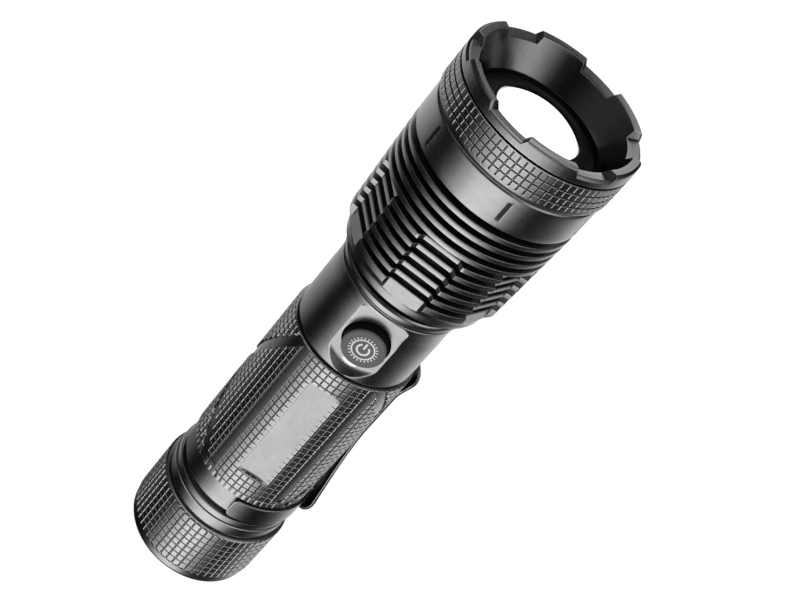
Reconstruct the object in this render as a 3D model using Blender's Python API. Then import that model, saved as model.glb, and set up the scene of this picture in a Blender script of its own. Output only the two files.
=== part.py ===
"""Zoomable tactical flashlight with a crenellated bezel, finned sliding head, side
switch, smooth-banded grip, pocket clip and tail cap.

The torch stands on its tail: Z is the barrel axis, z = 0 is the flat tail face, and
the side switch faces -Y.  Lengths are in millimetres and are turned into metres when
the meshes are made.  Turns are angles about Z from the switch's direction, in degrees.
Outlines of turned parts are closed lists of (radius, z) points.
"""
import math

import bmesh
import bpy
from mathutils import Matrix, Vector

METRES_PER_MM = 0.001

# ---- facets and steps --------------------------------------------------------------
OUTER_SIDES = 36        # outer turned parts
INNER_SIDES = 20        # parts inside
LENS_SIDES = 32
BUTTON_SIDES = 28
PLUNGER_SIDES = 14
O_RING_SIDES = 24
COIL_STEPS = 12         # sections in each turn of a spring
WIRE_SIDES = 6

# ---- driving dimensions ------------------------------------------------------------
TAIL_R = 18.45          # crest of the tail cap
TAIL_TOP = 24.8         # tail cap's open edge
GRIP_R = 17.2           # crest of the grip
GRIP_TOP = 86.9         # shoulder where the grip meets the switch collar
BORE_R = 13.4           # grip's bore
SEAT_R = 16.8           # seat that the clip's ring turns on
SEAT_BOTTOM, SEAT_TOP = 29.0, 35.2
CELL_R = 13.0           # a 26 mm cell
CELL_BOTTOM, CELL_TOP = 18.9, 82.6
NECK_R = 14.6           # tube the head slides on
NECK_BORE = 12.7
NECK_TOP = 149.9
SWITCH_Z = 98.6         # height of the button's axis
RIM_Z = 172.5           # highest edge of the bezel

# name: base colour, roughness, metallic
MATERIAL_TABLE = {
    "anodised_alloy": ((0.045, 0.047, 0.052), 0.30, 1.0),
    "anodised_bezel": ((0.040, 0.041, 0.045), 0.32, 1.0),
    "machined_alloy": ((0.62, 0.62, 0.63), 0.35, 1.0),
    "black_spring_steel": ((0.020, 0.020, 0.022), 0.35, 1.0),
    "lens_polymer": ((0.90, 0.92, 0.94), 0.05, 0.0),
    "black_rubber": ((0.015, 0.015, 0.015), 0.75, 0.0),
    "grey_silicone": ((0.30, 0.30, 0.31), 0.60, 0.0),
    "black_plastic": ((0.020, 0.020, 0.021), 0.45, 0.0),
    "green_board": ((0.02, 0.12, 0.05), 0.50, 0.0),
    "white_board": ((0.75, 0.75, 0.73), 0.50, 0.0),
    "led_phosphor": ((0.95, 0.85, 0.30), 0.40, 0.0),
    "brass": ((0.72, 0.52, 0.20), 0.30, 1.0),
    "plated_spring": ((0.70, 0.70, 0.68), 0.28, 1.0),
    "cell_wrap": ((0.05, 0.12, 0.30), 0.45, 0.0),
    "nickel_cap": ((0.66, 0.65, 0.62), 0.25, 1.0),
    "cell_can": ((0.64, 0.64, 0.62), 0.28, 1.0),
    "white_insulator": ((0.85, 0.85, 0.82), 0.60, 0.0),
    "switch_shell": ((0.55, 0.55, 0.56), 0.35, 1.0),
}

for old in list(bpy.data.objects):
    bpy.data.objects.remove(old, do_unlink=True)


def make_material(name, colour, roughness, metallic):
    made = bpy.data.materials.new(name)
    made.use_nodes = True
    inputs = made.node_tree.nodes["Principled BSDF"].inputs
    inputs["Base Color"].default_value = (*colour, 1.0)
    inputs["Roughness"].default_value = roughness
    inputs["Metallic"].default_value = metallic
    return made


MATERIALS = {name: make_material(name, *look) for name, look in MATERIAL_TABLE.items()}


# ---- points and outlines -----------------------------------------------------------
def polar(radius, turn, z):
    """A point at a turn from the switch's direction; positive turns go towards -X."""
    angle = math.radians(turn)
    return Vector((-radius * math.sin(angle), -radius * math.cos(angle), z))


def radial_point(turn, distance, offset, z):
    """A point at a distance out along a turn, moved sideways by offset."""
    outward = polar(1.0, turn, 0.0)
    across = Vector((-outward.y, outward.x, 0.0))
    return outward * distance + across * offset + Vector((0, 0, z))


def ring_outline(inner, outer, bottom, top):
    """Rectangular (radius, z) outline; an inner radius of 0 makes a disc."""
    return [(inner, bottom), (outer, bottom), (outer, top), (inner, top)]


# ---- solids ------------------------------------------------------------------------
def solid(name, verts, faces):
    mesh = bpy.data.meshes.new(name)
    mesh.from_pydata([Vector(vert) * METRES_PER_MM for vert in verts], [], faces)
    bm = bmesh.new()
    bm.from_mesh(mesh)
    bmesh.ops.recalc_face_normals(bm, faces=bm.faces)
    if bm.calc_volume(signed=True) < 0:
        bmesh.ops.reverse_faces(bm, faces=bm.faces)
    bm.to_mesh(mesh)
    bm.free()
    piece = bpy.data.objects.new(name, mesh)
    bpy.context.scene.collection.objects.link(piece)
    return piece


def lathe(name, outline, sides=INNER_SIDES, place=None):
    """Turns a closed outline about Z.  Points with radius 0 close the solid on the axis."""
    verts, rings = [], []
    for radius, z in outline:
        if radius < 1e-9:
            rings.append([len(verts)] * sides)
            verts.append((0.0, 0.0, z))
        else:
            rings.append(list(range(len(verts), len(verts) + sides)))
            for k in range(sides):
                angle = 2 * math.pi * k / sides - math.pi / 2
                verts.append((radius * math.cos(angle), radius * math.sin(angle), z))
    faces = []
    for ring, following in zip(rings, rings[1:] + rings[:1]):
        if ring[0] == ring[1] and following[0] == following[1]:
            continue                      # this edge lies on the axis
        for k in range(sides):
            j = (k + 1) % sides
            corners = [ring[k], ring[j], following[j], following[k]]
            faces.append(list(dict.fromkeys(corners)))
    if place is not None:
        verts = [place @ Vector(vert) for vert in verts]
    return solid(name, verts, faces)


def box(name, low, high):
    verts = [(x, y, z) for x in (low[0], high[0]) for y in (low[1], high[1])
             for z in (low[2], high[2])]
    faces = [(0, 1, 3, 2), (4, 6, 7, 5), (0, 4, 5, 1), (2, 3, 7, 6), (0, 2, 6, 4), (1, 5, 7, 3)]
    return solid(name, verts, faces)


def loft(name, rings):
    """Skins closed rings of equal length and caps both ends."""
    size = len(rings[0])
    verts = [point for ring in rings for point in ring]
    last = len(verts) - size
    faces = []
    for start in range(0, last, size):
        for k in range(size):
            j = (k + 1) % size
            faces.append((start + k, start + j, start + size + j, start + size + k))
    faces.append(tuple(range(size)))
    faces.append(tuple(range(last, len(verts))))
    return solid(name, verts, faces)


def arc_sweep(name, outline, start, stop, steps, lift=lambda turn: 0.0):
    """Sweeps a (radius, z) outline from turn to turn, raised by lift(turn)."""
    turns = [start + (stop - start) * i / steps for i in range(steps + 1)]
    return loft(name, [[polar(radius, turn, lift(turn) + z) for radius, z in outline]
                       for turn in turns])


def radial_block(name, turn, sections):
    """Block along a turn.  Sections: distance, bottom and top half widths, bottom z, top z."""
    return loft(name, [
        [radial_point(turn, distance, x, z)
         for x, z in ((-low, bottom), (low, bottom), (high, top), (-high, top))]
        for distance, low, high, bottom, top in sections])


def coil(name, wire_radius, turns, start, end):
    """A wire swept round a helix between two (coil radius, z) ends."""
    count = int(turns * COIL_STEPS)
    rings = []
    for i in range(count + 1):
        part = i / count
        radius, z = (first + (final - first) * part for first, final in zip(start, end))
        angle = 2 * math.pi * turns * part
        outward = Vector((math.cos(angle), math.sin(angle), 0.0))
        centre = Vector((radius * math.cos(angle), radius * math.sin(angle), z))
        ring = []
        for k in range(WIRE_SIDES):
            around = 2 * math.pi * k / WIRE_SIDES
            spoke = math.cos(around) * outward + math.sin(around) * Vector((0.0, 0.0, 1.0))
            ring.append(centre + wire_radius * spoke)
        rings.append(ring)
    piece = loft(name, rings)
    finish(piece, "plated_spring", angle=70)


def o_ring(name, inner, crest, outer, z, half_height):
    """Rubber ring with a four-sided section; its upper and lower edges lie at radius crest."""
    outline = [(inner, z), (crest, z - half_height), (outer, z), (crest, z + half_height)]
    finish(lathe(name, outline, O_RING_SIDES), "black_rubber", angle=60)


# ---- changes to solids -------------------------------------------------------------
def cut(target, cutter, operation="DIFFERENCE"):
    """Applies a boolean to target, cleans the mesh and removes the cutter."""
    modifier = target.modifiers.new("boolean", "BOOLEAN")
    modifier.solver = "EXACT"
    modifier.operation = operation
    modifier.object = cutter
    depsgraph = bpy.context.evaluated_depsgraph_get()
    mesh = bpy.data.meshes.new_from_object(target.evaluated_get(depsgraph), depsgraph=depsgraph)
    target.modifiers.clear()
    before = target.data
    target.data = mesh
    bpy.data.meshes.remove(before)
    bm = bmesh.new()
    bm.from_mesh(mesh)
    bmesh.ops.remove_doubles(bm, verts=bm.verts, dist=2e-6)
    bmesh.ops.dissolve_degenerate(bm, edges=bm.edges, dist=1e-6)
    bm.to_mesh(mesh)
    bm.free()
    cutter_mesh = cutter.data
    bpy.data.objects.remove(cutter, do_unlink=True)
    bpy.data.meshes.remove(cutter_mesh)


def finish(piece, material_name, angle=32.0):
    """Gives a material and smooth shading up to an edge angle; None leaves it flat."""
    piece.data.materials.clear()
    piece.data.materials.append(MATERIALS[material_name])
    if angle is not None:
        piece.data.shade_smooth()
        piece.data.set_sharp_from_angle(angle=math.radians(angle))


def set_origin(piece, point):
    origin = Vector(point) * METRES_PER_MM
    piece.data.transform(Matrix.Translation(-origin))
    piece.location = origin


# ---- tail cap ----------------------------------------------------------------------
TAIL_CONTACT_R = 13.4

tail_cap_outline = [
    (0, 0), (17.45, 0), (18.05, 0.6), (18.2, 3.0), (TAIL_R, 3.3), (TAIL_R, 20.3),
    (18.0, 20.75), (17.05, 20.9), (17.05, 21.5), (17.5, 21.8), (17.5, 24.5), (17.2, TAIL_TOP),
    (15.75, TAIL_TOP), (15.75, 8.2), (13.9, 8.2), (13.9, 4.2), (0, 4.2)]
finish(lathe("tail_cap", tail_cap_outline, OUTER_SIDES), "anodised_alloy")
finish(lathe("tail_contact", ring_outline(0, TAIL_CONTACT_R, 4.5, 5.7)), "brass")
finish(lathe("tail_retaining_ring", ring_outline(10.6, TAIL_CONTACT_R, 6.0, 7.7)),
       "machined_alloy")
coil("tail_spring", wire_radius=0.55, turns=4.5, start=(8.6, 6.7), end=(5.2, 18.0))

# ---- grip tube ---------------------------------------------------------------------
BAND_R = 16.75          # floor of the smooth bands
BAND_CUT_R = 19.0       # outside of their cutters
BAND_TURN = 38.0        # turn at which a sloping band's height is given

# start turn, end turn, half height, steps, middle height, rise per degree of turn
SIDE_BANDS = [
    (30.0, 39.0, 26.0, 2, 64.0, 0.0),
    (38.4, 165.0, 2.6, 12, 88.3, -0.43),
    (43.0, 170.6, 2.6, 12, 33.8, 0.39),
]
BACK_BAND = (169.8, 190.2, 25.2, 3, 61.5, 0.0)

grip_outline = [
    (15.3, 9.0), (15.3, 21.4), (14.6, 21.4), (14.6, 23.4), (15.3, 23.4), (15.3, 25.1),
    (17.0, 25.1), (17.3, 25.4), (17.3, 27.0), (17.0, 27.3), (16.0, 27.3), (16.0, SEAT_BOTTOM),
    (SEAT_R, SEAT_BOTTOM), (SEAT_R, SEAT_TOP), (GRIP_R, 35.5), (GRIP_R, 86.45),
    (GRIP_R - 0.45, GRIP_TOP), (14.6, GRIP_TOP), (14.6, 88.2), (14.1, 88.2), (14.1, 89.6),
    (14.6, 89.6), (14.6, 90.8), (BORE_R, 90.8), (BORE_R, 9.0)]
grip_tube = lathe("grip_tube", grip_outline, OUTER_SIDES)


def mill_band(side, start, stop, half, steps, height, slope):
    """Mills a smooth band; side -1 mirrors it to the +X side."""
    cut(grip_tube, arc_sweep(
        "band", ring_outline(BAND_R, BAND_CUT_R, -half, half), side * start, side * stop, steps,
        lift=lambda turn: height + slope * (abs(turn) - BAND_TURN)))


for side in (1, -1):
    for band in SIDE_BANDS:
        mill_band(side, *band)
mill_band(1, *BACK_BAND)
cut(grip_tube, box("label_flat", (-4.92, -20.0, 42.6), (4.92, -16.42, 80.4)))
finish(grip_tube, "anodised_alloy")

o_ring("front_o_ring", inner=14.3, crest=14.52, outer=14.74, z=88.9, half_height=0.4)
o_ring("rear_o_ring", inner=14.8, crest=15.15, outer=15.5, z=22.4, half_height=0.7)

# ---- cell --------------------------------------------------------------------------
WRAP_BORE = 12.8

can_outline = [
    (0, CELL_BOTTOM), (12.2, CELL_BOTTOM), (12.6, CELL_BOTTOM + 0.4), (12.6, CELL_TOP - 1.2),
    (12.2, CELL_TOP - 0.6), (9.8, CELL_TOP - 0.6), (9.8, CELL_TOP - 1.6), (0, CELL_TOP - 1.6)]
finish(lathe("cell_can", can_outline), "cell_can")
cap_outline = [
    (0, CELL_TOP - 1.3), (9.2, CELL_TOP - 1.3), (9.2, CELL_TOP - 0.7), (4.6, CELL_TOP - 0.4),
    (3.9, CELL_TOP + 1.2), (0, CELL_TOP + 1.2)]
finish(lathe("cell_cap", cap_outline), "nickel_cap")
finish(lathe("cell_insulator", ring_outline(5.4, 12.0, CELL_TOP - 0.3, CELL_TOP)),
       "white_insulator")
finish(lathe("cell_wrap", ring_outline(WRAP_BORE, CELL_R, CELL_BOTTOM + 0.8, CELL_TOP - 0.4)),
       "cell_wrap")

# ---- pocket clip -------------------------------------------------------------------
CLIP_TURN = -109.5
CLIP_HALF = 4.5         # half width of the arm
RING_HALF_TURN = 107.1  # half of the angle the clip's ring covers
RING_STEPS = 24
TIP_START_Z = 81.6      # the arm narrows above this height

# Arm seen from the side: distance from the barrel axis, z
arm_outer = [
    (17.6, 29.2), (17.9, 26.6), (19.1, 25.2), (20.8, 25.2), (21.8, 26.6), (21.9, 28.6),
    (19.95, 42.9), (18.5, 56.5), (18.28, 68.0), (18.28, 75.6), (18.8, 78.6), (19.9, 81.7),
    (20.42, 84.1), (20.1, 85.7), (19.85, 86.0)]
arm_inner = [
    (19.4, 85.8), (19.6, 84.2), (19.2, 82.4), (17.6, 77.6), (17.5, 76.4), (17.5, 60.2),
    (18.3, 49.8), (21.05, 28.7), (20.95, 26.9), (20.3, 25.95), (19.2, 26.05), (18.5, 27.2),
    (18.4, 29.2), (18.35, 34.6), (17.6, 34.6)]


def arm_half_width(z):
    """Half width of the arm, with a rounded free end."""
    if z <= TIP_START_Z:
        return CLIP_HALF
    return CLIP_HALF * math.sqrt(1.0 - 0.80 * ((z - TIP_START_Z) / 4.5) ** 2)


pocket_clip = arc_sweep("pocket_clip", ring_outline(17.1, 17.95, 28.7, 35.0),
                        CLIP_TURN - RING_HALF_TURN, CLIP_TURN + RING_HALF_TURN, RING_STEPS)
arm = loft("arm", [
    [radial_point(CLIP_TURN, distance, part * arm_half_width(z), z)
     for distance, z in arm_outer + arm_inner]
    for part in (-1.0, -0.5, 0.5, 1.0)])
cut(pocket_clip, arm, "UNION")
finish(pocket_clip, "black_spring_steel", angle=40)

# ---- switch collar and neck --------------------------------------------------------
COLLAR_R = 16.45
COLLAR_Z = 87.2
FLAT_Y = 15.05          # milled flat round the button, from the barrel axis
FLAT_HALF = 6.7         # its half width
FLAT_TOP, FLAT_BOTTOM = 108.5, 89.9
FLAT_CORNER = 2.6       # corner radius at the head end
FLAT_SAG = 2.4          # depth of the arc at the tail end
HOLE_R = 5.85
# Local +Z looks along -Y, with the origin on the barrel axis
AIM = Matrix.Translation((0, 0, SWITCH_Z)) @ Matrix.Rotation(math.radians(90), 4, "X")

collar_outline = [
    (14.95, COLLAR_Z), (16.15, COLLAR_Z), (COLLAR_R, 87.6), (COLLAR_R, 101.5), (16.35, 104.2),
    (16.45, 106.6), (16.65, 108.8), (16.2, 109.1), (16.2, 109.5), (16.85, 109.7),
    (17.25, 110.4), (17.25, 111.6), (16.95, 112.1), (NECK_R, 112.1), (NECK_R, 130.9),
    (13.9, 130.9), (13.9, 132.5), (NECK_R, 132.5), (NECK_R, 134.3), (13.7, 134.3),
    (13.7, 136.5), (NECK_R, 136.5), (NECK_R, 149.6), (14.3, NECK_TOP), (NECK_BORE, NECK_TOP),
    (NECK_BORE, 112.4), (13.2, 111.6), (13.2, 91.4), (14.95, 91.4)]


def flat_ring(y, drop):
    """Switch flat's outline: round corners at the head end, a wide arc at the tail end."""
    points = []
    for side, start in ((1, 0), (-1, 90)):
        for k in range(4):
            angle = math.radians(start + 90 * k / 3)
            points.append(Vector((
                side * (FLAT_HALF - FLAT_CORNER) + FLAT_CORNER * math.cos(angle), y,
                FLAT_TOP - FLAT_CORNER + FLAT_CORNER * math.sin(angle))))
    for k in range(7):
        x = -FLAT_HALF + 2 * FLAT_HALF * k / 6
        points.append(Vector((x, y, FLAT_BOTTOM - drop + FLAT_SAG * (x / FLAT_HALF) ** 2)))
    return points


switch_collar = lathe("switch_collar", collar_outline, OUTER_SIDES)
cut(switch_collar, loft("switch_flat", [flat_ring(-FLAT_Y, 0.0), flat_ring(-18.05, 3.2)]))
cut(switch_collar, lathe("hole", ring_outline(0, HOLE_R, 10.0, 20.0), BUTTON_SIDES, AIM))
cut(switch_collar, lathe("counterbore", ring_outline(0, 7.3, 10.0, 13.5), BUTTON_SIDES, AIM))
finish(switch_collar, "anodised_alloy")

# ---- switch ------------------------------------------------------------------------
BUTTON_R = 5.5
BUTTON_FLANGE_R = 6.85
BUTTON_TOP = 18.15      # button face, from the barrel axis
PLUNGER_TOP = 11.6      # plunger's outer end, from the barrel axis
SWITCH_HALF = 3.1       # half the side of the switch body

button_outline = [
    (0, 11.9), (BUTTON_FLANGE_R, 11.9), (BUTTON_FLANGE_R, 12.5), (BUTTON_R, 12.5),
    (BUTTON_R, 17.65), (5.35, 18.0), (5.0, BUTTON_TOP), (0, BUTTON_TOP)]
switch_button = lathe("switch_button", button_outline, BUTTON_SIDES, AIM)
set_origin(switch_button, (0, -BUTTON_TOP, SWITCH_Z))
finish(switch_button, "grey_silicone", angle=50)

switch_plunger = lathe("switch_plunger", ring_outline(0, 1.6, 9.8, PLUNGER_TOP),
                       PLUNGER_SIDES, AIM)
set_origin(switch_plunger, (0, -PLUNGER_TOP, SWITCH_Z))
finish(switch_plunger, "black_plastic")

finish(lathe("switch_seal", ring_outline(5.75, 7.0, 12.8, 13.2), place=AIM), "black_rubber")

switch_body = box("switch_body", (-SWITCH_HALF, -10.5, SWITCH_Z - SWITCH_HALF),
                  (SWITCH_HALF, -8.3, SWITCH_Z + SWITCH_HALF))
cut(switch_body, lathe("well", ring_outline(0, 2.0, 8.8, 12.0), PLUNGER_SIDES, AIM))
finish(switch_body, "switch_shell", angle=None)

switch_board = box("switch_board", (-8.0, -8.0, SWITCH_Z - 5.9), (8.0, -6.8, SWITCH_Z + 8.6))
finish(switch_board, "green_board", angle=None)

switch_carrier = lathe("switch_carrier", ring_outline(2.2, 12.7, 92.6, 109.4))
cut(switch_carrier, box("carrier_flat", (-20, -20, 80), (20, -6.5, 120)))
finish(switch_carrier, "black_plastic", angle=25)

# ---- front contact -----------------------------------------------------------------
finish(lathe("front_contact_board", ring_outline(0, 12.6, 90.2, 91.4)), "green_board")
coil("front_contact_spring", wire_radius=0.5, turns=3.0, start=(2.9, 84.6), end=(4.5, 89.4))

# ---- neck: driver, pill, light source ----------------------------------------------
PILL_R = 12.35          # driver ring and pill

# Blocks standing on the driver board: name, low corner, high corner
DRIVER_BLOCKS = [
    ("coil_block", (-4.6, -8.6, 114.2), (2.4, -1.6, 119.2)),
    ("chip", (-6.0, 1.6, 114.2), (-0.8, 6.8, 116.0)),
    ("cap_block", (2.6, 0.9, 114.2), (6.2, 6.9, 117.4)),
]
driver_board = lathe("driver_board", ring_outline(0, 12.3, 113.4, 114.8))
for block in DRIVER_BLOCKS:
    cut(driver_board, box(*block), "UNION")
finish(driver_board, "green_board", angle=25)
finish(lathe("driver_ring", ring_outline(10.2, PILL_R, 115.2, 117.6)), "brass")

pill_outline = [
    (0, 138.0), (PILL_R, 138.0), (PILL_R, 150.3), (11.4, 150.3), (11.4, 149.3), (0, 149.3)]
finish(lathe("led_pill", pill_outline), "machined_alloy")
finish(lathe("led_board", ring_outline(0, 10.4, 149.6, 151.0)), "white_board")
emitter_outline = [
    (0, 151.3), (4.2, 151.3), (4.2, 152.0), (3.5, 152.2), (3.1, 153.2), (2.1, 154.0), (0, 154.4)]
finish(lathe("led_emitter", emitter_outline), "led_phosphor", angle=50)

finish(lathe("zoom_stop_ring", ring_outline(14.2, 15.15, 131.2, 132.2)), "plated_spring")
o_ring("zoom_o_ring", inner=13.95, crest=14.6, outer=15.2, z=135.4, half_height=0.8)

# ---- sliding head ------------------------------------------------------------------
HEAD_BOTTOM = 113.6
HEAD_BORE = 15.5
HEAD_R = 22.55
FIN_TOP_Z = 147.2       # middle of the first fin, nearest the bezel
FIN_PITCH = 2.96
FIN_COUNT = 10
FIN_HALF = 0.68         # half thickness
FIN_ROOT = 17.2
FIN_R = 22.5            # crest of the first fin
FIN_TAPER = 0.115       # crest drop from fin to fin
HEAD_BAND_BOTTOM, HEAD_BAND_TOP = 149.7, 159.2
POCKET_FLAT = 19.7      # milled pockets' floor, from the barrel axis
POCKET_HALF = 4.74
POCKET_BOTTOM, POCKET_TOP = 112.0, 137.0
POCKET_TURN = 5.0       # first pocket
MARK_TURN = -6.2        # first groove in the band
MARK_BOTTOM, MARK_TOP = 151.4, 157.0
HEAD_REPEATS = 6        # pockets, and grooves

head_outline = [
    (15.05, HEAD_BOTTOM), (16.1, HEAD_BOTTOM), (17.6, 114.45), (19.4, 115.0), (19.6, 115.3),
    (19.65, 117.15), (19.95, 117.45), (21.1, 119.1)]
for i in reversed(range(FIN_COUNT)):
    z = FIN_TOP_Z - FIN_PITCH * i
    crest = FIN_R - FIN_TAPER * i
    if i == FIN_COUNT - 1:                # the lowest fin grows out of the skirt
        head_outline += [(crest, 119.5)]
    else:
        head_outline += [(FIN_ROOT, z - FIN_HALF), (crest, z - FIN_HALF)]
    head_outline += [(crest, z + FIN_HALF), (FIN_ROOT, z + FIN_HALF)]
head_outline += [
    (FIN_ROOT, HEAD_BAND_BOTTOM), (HEAD_R - 0.2, HEAD_BAND_BOTTOM),
    (HEAD_R, HEAD_BAND_BOTTOM + 0.25), (HEAD_R, 158.6), (22.0, HEAD_BAND_TOP),
    (20.9, HEAD_BAND_TOP), (20.9, 154.2), (17.9, 154.2), (17.9, 157.7), (11.0, 157.7),
    (11.0, 155.9), (HEAD_BORE, 155.9), (HEAD_BORE, 118.2), (15.05, 118.0)]
zoom_head = lathe("zoom_head", head_outline, OUTER_SIDES)


def cut_head(name, first_turn, bottom, top, stations):
    """Cuts blocks spaced evenly round the head.  Stations: distance, half width."""
    sections = [(distance, half, half, bottom, top) for distance, half in stations]
    for k in range(HEAD_REPEATS):
        cut(zoom_head, radial_block(name, first_turn + 360.0 / HEAD_REPEATS * k, sections))


cut_head("pocket", POCKET_TURN, POCKET_BOTTOM, POCKET_TOP,
         [(POCKET_FLAT, POCKET_HALF), (24.5, POCKET_HALF + 4.2)])
cut_head("mark", MARK_TURN, MARK_BOTTOM, MARK_TOP, [(21.95, 0.1), (23.0, 1.0)])
finish(zoom_head, "anodised_alloy")

# ---- lens stack --------------------------------------------------------------------
LENS_APEX = 167.0
LENS_SPHERE = 18.85     # radius of the dome's sphere
LENS_R = 13.0

finish(lathe("lens_gasket", ring_outline(11.3, 12.9, 158.0, 158.5)), "black_rubber")

dome_outline = [
    (radius, LENS_APEX - (LENS_SPHERE - math.sqrt(LENS_SPHERE ** 2 - radius * radius)))
    for radius in (LENS_R, 11.2, 9.0, 6.4, 3.4)]
front_lens = lathe("front_lens", [(0, 158.8), (LENS_R, 158.8), *dome_outline, (0, LENS_APEX)],
                   LENS_SIDES)
finish(front_lens, "lens_polymer", angle=50)

retainer_outline = [
    (13.4, 158.0), (17.5, 158.0), (17.5, 162.5), (16.0, 162.6), (11.5, 164.5), (11.2, 164.3),
    (11.3, 163.7), (13.4, 162.3)]
finish(lathe("lens_retainer", retainer_outline, LENS_SIDES), "black_plastic")

# ---- strike bezel ------------------------------------------------------------------
BEZEL_R = 23.1
LAND_R = 20.6           # inner edge of the rim
FUNNEL_Z = 163.75
FUNNEL_R = 16.3
NOTCH_Z = 170.95        # notch floor at NOTCH_REF_R; it falls inwards
NOTCH_REF_R = 22.5
NOTCH_FALL = 0.25       # fall per millimetre
NOTCH_COUNT = 6
NOTCH_TURN = 23.0       # first notch
NOTCH_LOW_SLOPE = math.tan(math.radians(12.2))    # half width per distance, at the floor
NOTCH_HIGH_SLOPE = math.tan(math.radians(14.8))   # and at the top

bezel_outline = [
    (22.1, 159.6), (22.9, 160.0), (BEZEL_R, 160.4), (BEZEL_R, 168.1), (22.6, 168.3),
    (22.6, 168.7), (BEZEL_R, 168.9), (22.95, 171.8), (22.4, RIM_Z), (LAND_R, 172.15),
    (FUNNEL_R, FUNNEL_Z), (FUNNEL_R, 162.95), (17.8, 162.9), (17.8, 158.2), (18.25, 158.2),
    (18.25, 154.6), (20.5, 154.6), (20.5, 156.0), (19.8, 156.0), (19.8, 157.6), (20.5, 157.6),
    (20.5, 159.6)]
strike_bezel = lathe("strike_bezel", bezel_outline, OUTER_SIDES)
notch_sections = [
    (distance, distance * NOTCH_LOW_SLOPE, distance * NOTCH_HIGH_SLOPE,
     NOTCH_Z + NOTCH_FALL * (distance - NOTCH_REF_R), RIM_Z + 0.4)
    for distance in (17.0, 25.0)]
for k in range(NOTCH_COUNT):
    cut(strike_bezel,
        radial_block("notch", NOTCH_TURN + 360.0 / NOTCH_COUNT * k, notch_sections))
finish(strike_bezel, "anodised_bezel")
o_ring("bezel_o_ring", inner=20.05, crest=20.35, outer=20.65, z=156.8, half_height=0.55)

for piece in bpy.data.objects:
    piece.data.name = piece.name
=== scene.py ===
"""A zoom torch standing on its tail cap, with its axis on +Z and the cap's end at z = 0.

The side switch faces -Y.  Lengths are millimetres unless a name says otherwise.  A turn is an
angle in degrees round the axis from the switch's direction, positive towards -X.
"""

import math
from typing import NamedTuple

import bmesh
import bpy
import numpy as np
from mathutils import Matrix, Vector


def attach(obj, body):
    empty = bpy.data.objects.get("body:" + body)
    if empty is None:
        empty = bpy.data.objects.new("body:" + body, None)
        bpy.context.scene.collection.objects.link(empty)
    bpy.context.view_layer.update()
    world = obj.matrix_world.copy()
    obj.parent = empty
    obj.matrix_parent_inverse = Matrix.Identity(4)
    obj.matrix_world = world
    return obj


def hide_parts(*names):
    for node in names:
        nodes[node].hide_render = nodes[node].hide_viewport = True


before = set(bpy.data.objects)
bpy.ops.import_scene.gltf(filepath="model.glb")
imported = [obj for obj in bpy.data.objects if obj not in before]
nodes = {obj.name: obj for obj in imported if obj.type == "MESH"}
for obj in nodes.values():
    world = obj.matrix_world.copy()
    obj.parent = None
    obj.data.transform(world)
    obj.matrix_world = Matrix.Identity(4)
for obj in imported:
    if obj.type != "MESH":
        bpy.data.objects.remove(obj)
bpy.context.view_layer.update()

MM = 0.001                      # metres in a millimetre
NO_CUT = 99.0                   # radius outside everything, where nothing is milled away

# ---- tail cap and grip tube
TAIL_RADIUS = 18.45
GRIP_RADIUS = 17.2
BAND_RADIUS = 16.75             # plain bands between the knurled areas
SEAT_RADIUS = 16.8              # seat under the clip's ring
GRIP_BORE = 13.4
THREAD_PITCH, THREAD_TURNS = 1.6, 8

# ---- switch collar and button
COLLAR_RADIUS, NECK_RADIUS = 16.45, 14.6
SWITCH_Z = 98.6
SWITCH_FLAT = 15.05             # distance of the milled flat from the axis
HOLE_RADIUS, BUTTON_RADIUS = 5.85, 5.5
SWITCH_PLACE = Matrix.Translation((0, 0, SWITCH_Z)) @ Matrix.Rotation(math.radians(90), 4, "X")

# ---- finned head; fins are counted from the top one down
HEAD_RADIUS = 22.55
FIN_TOP_Z, FIN_PITCH, FIN_COUNT, FIN_HALF = 147.2, 2.96, 10, 0.68
FIN_ROOT, FIN_RADIUS, FIN_TAPER = 17.2, 22.5, 0.115
POCKET_FLAT, POCKET_HALF = 19.7, 4.74       # floor's distance from the axis, its half width
POCKET_FLARE = 0.875                        # sideways run of a pocket wall per mm outwards
POCKET_TOP, POCKET_TURN = 137.0, 5.0
MARK_TURN = -6.2
HEAD_REPEATS = 6                            # pockets, marks and bezel notches round the head

# ---- bezel and lens
BEZEL_RADIUS, RIM_Z = 23.1, 172.5
NOTCH_Z, NOTCH_TURN = 170.95, 23.0
FUNNEL_RADIUS, FUNNEL_Z = 16.3, 163.75
LAND_RADIUS, LAND_Z = 20.6, 172.14
LENS_APEX, LENS_SPHERE, LENS_RADIUS = 167.0, 18.85, 13.0

# ---- pocket clip
CLIP_TURN, CLIP_HALF = -109.5, 4.5
CLIP_RING_HALF = 107.1                      # degrees of ring on each side of the arm


# ================================================================ mesh helpers
def clean(obj, weld):
    """Weld, drop loose points and turn the faces outwards."""
    mesh = bmesh.new()
    mesh.from_mesh(obj.data)
    bmesh.ops.remove_doubles(mesh, verts=mesh.verts, dist=weld)
    bmesh.ops.dissolve_degenerate(mesh, edges=mesh.edges, dist=weld)
    loose = [vert for vert in mesh.verts if not vert.link_faces]
    if loose:
        bmesh.ops.delete(mesh, geom=loose, context="VERTS")
    bmesh.ops.recalc_face_normals(mesh, faces=mesh.faces)
    if mesh.calc_volume(signed=True) < 0:
        bmesh.ops.reverse_faces(mesh, faces=mesh.faces)
    mesh.to_mesh(obj.data)
    mesh.free()


def shade(obj, sharp):
    """Smooth shading that breaks at edges sharper than this many degrees."""
    obj.data.shade_smooth()
    obj.data.set_sharp_from_angle(angle=math.radians(sharp))


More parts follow.
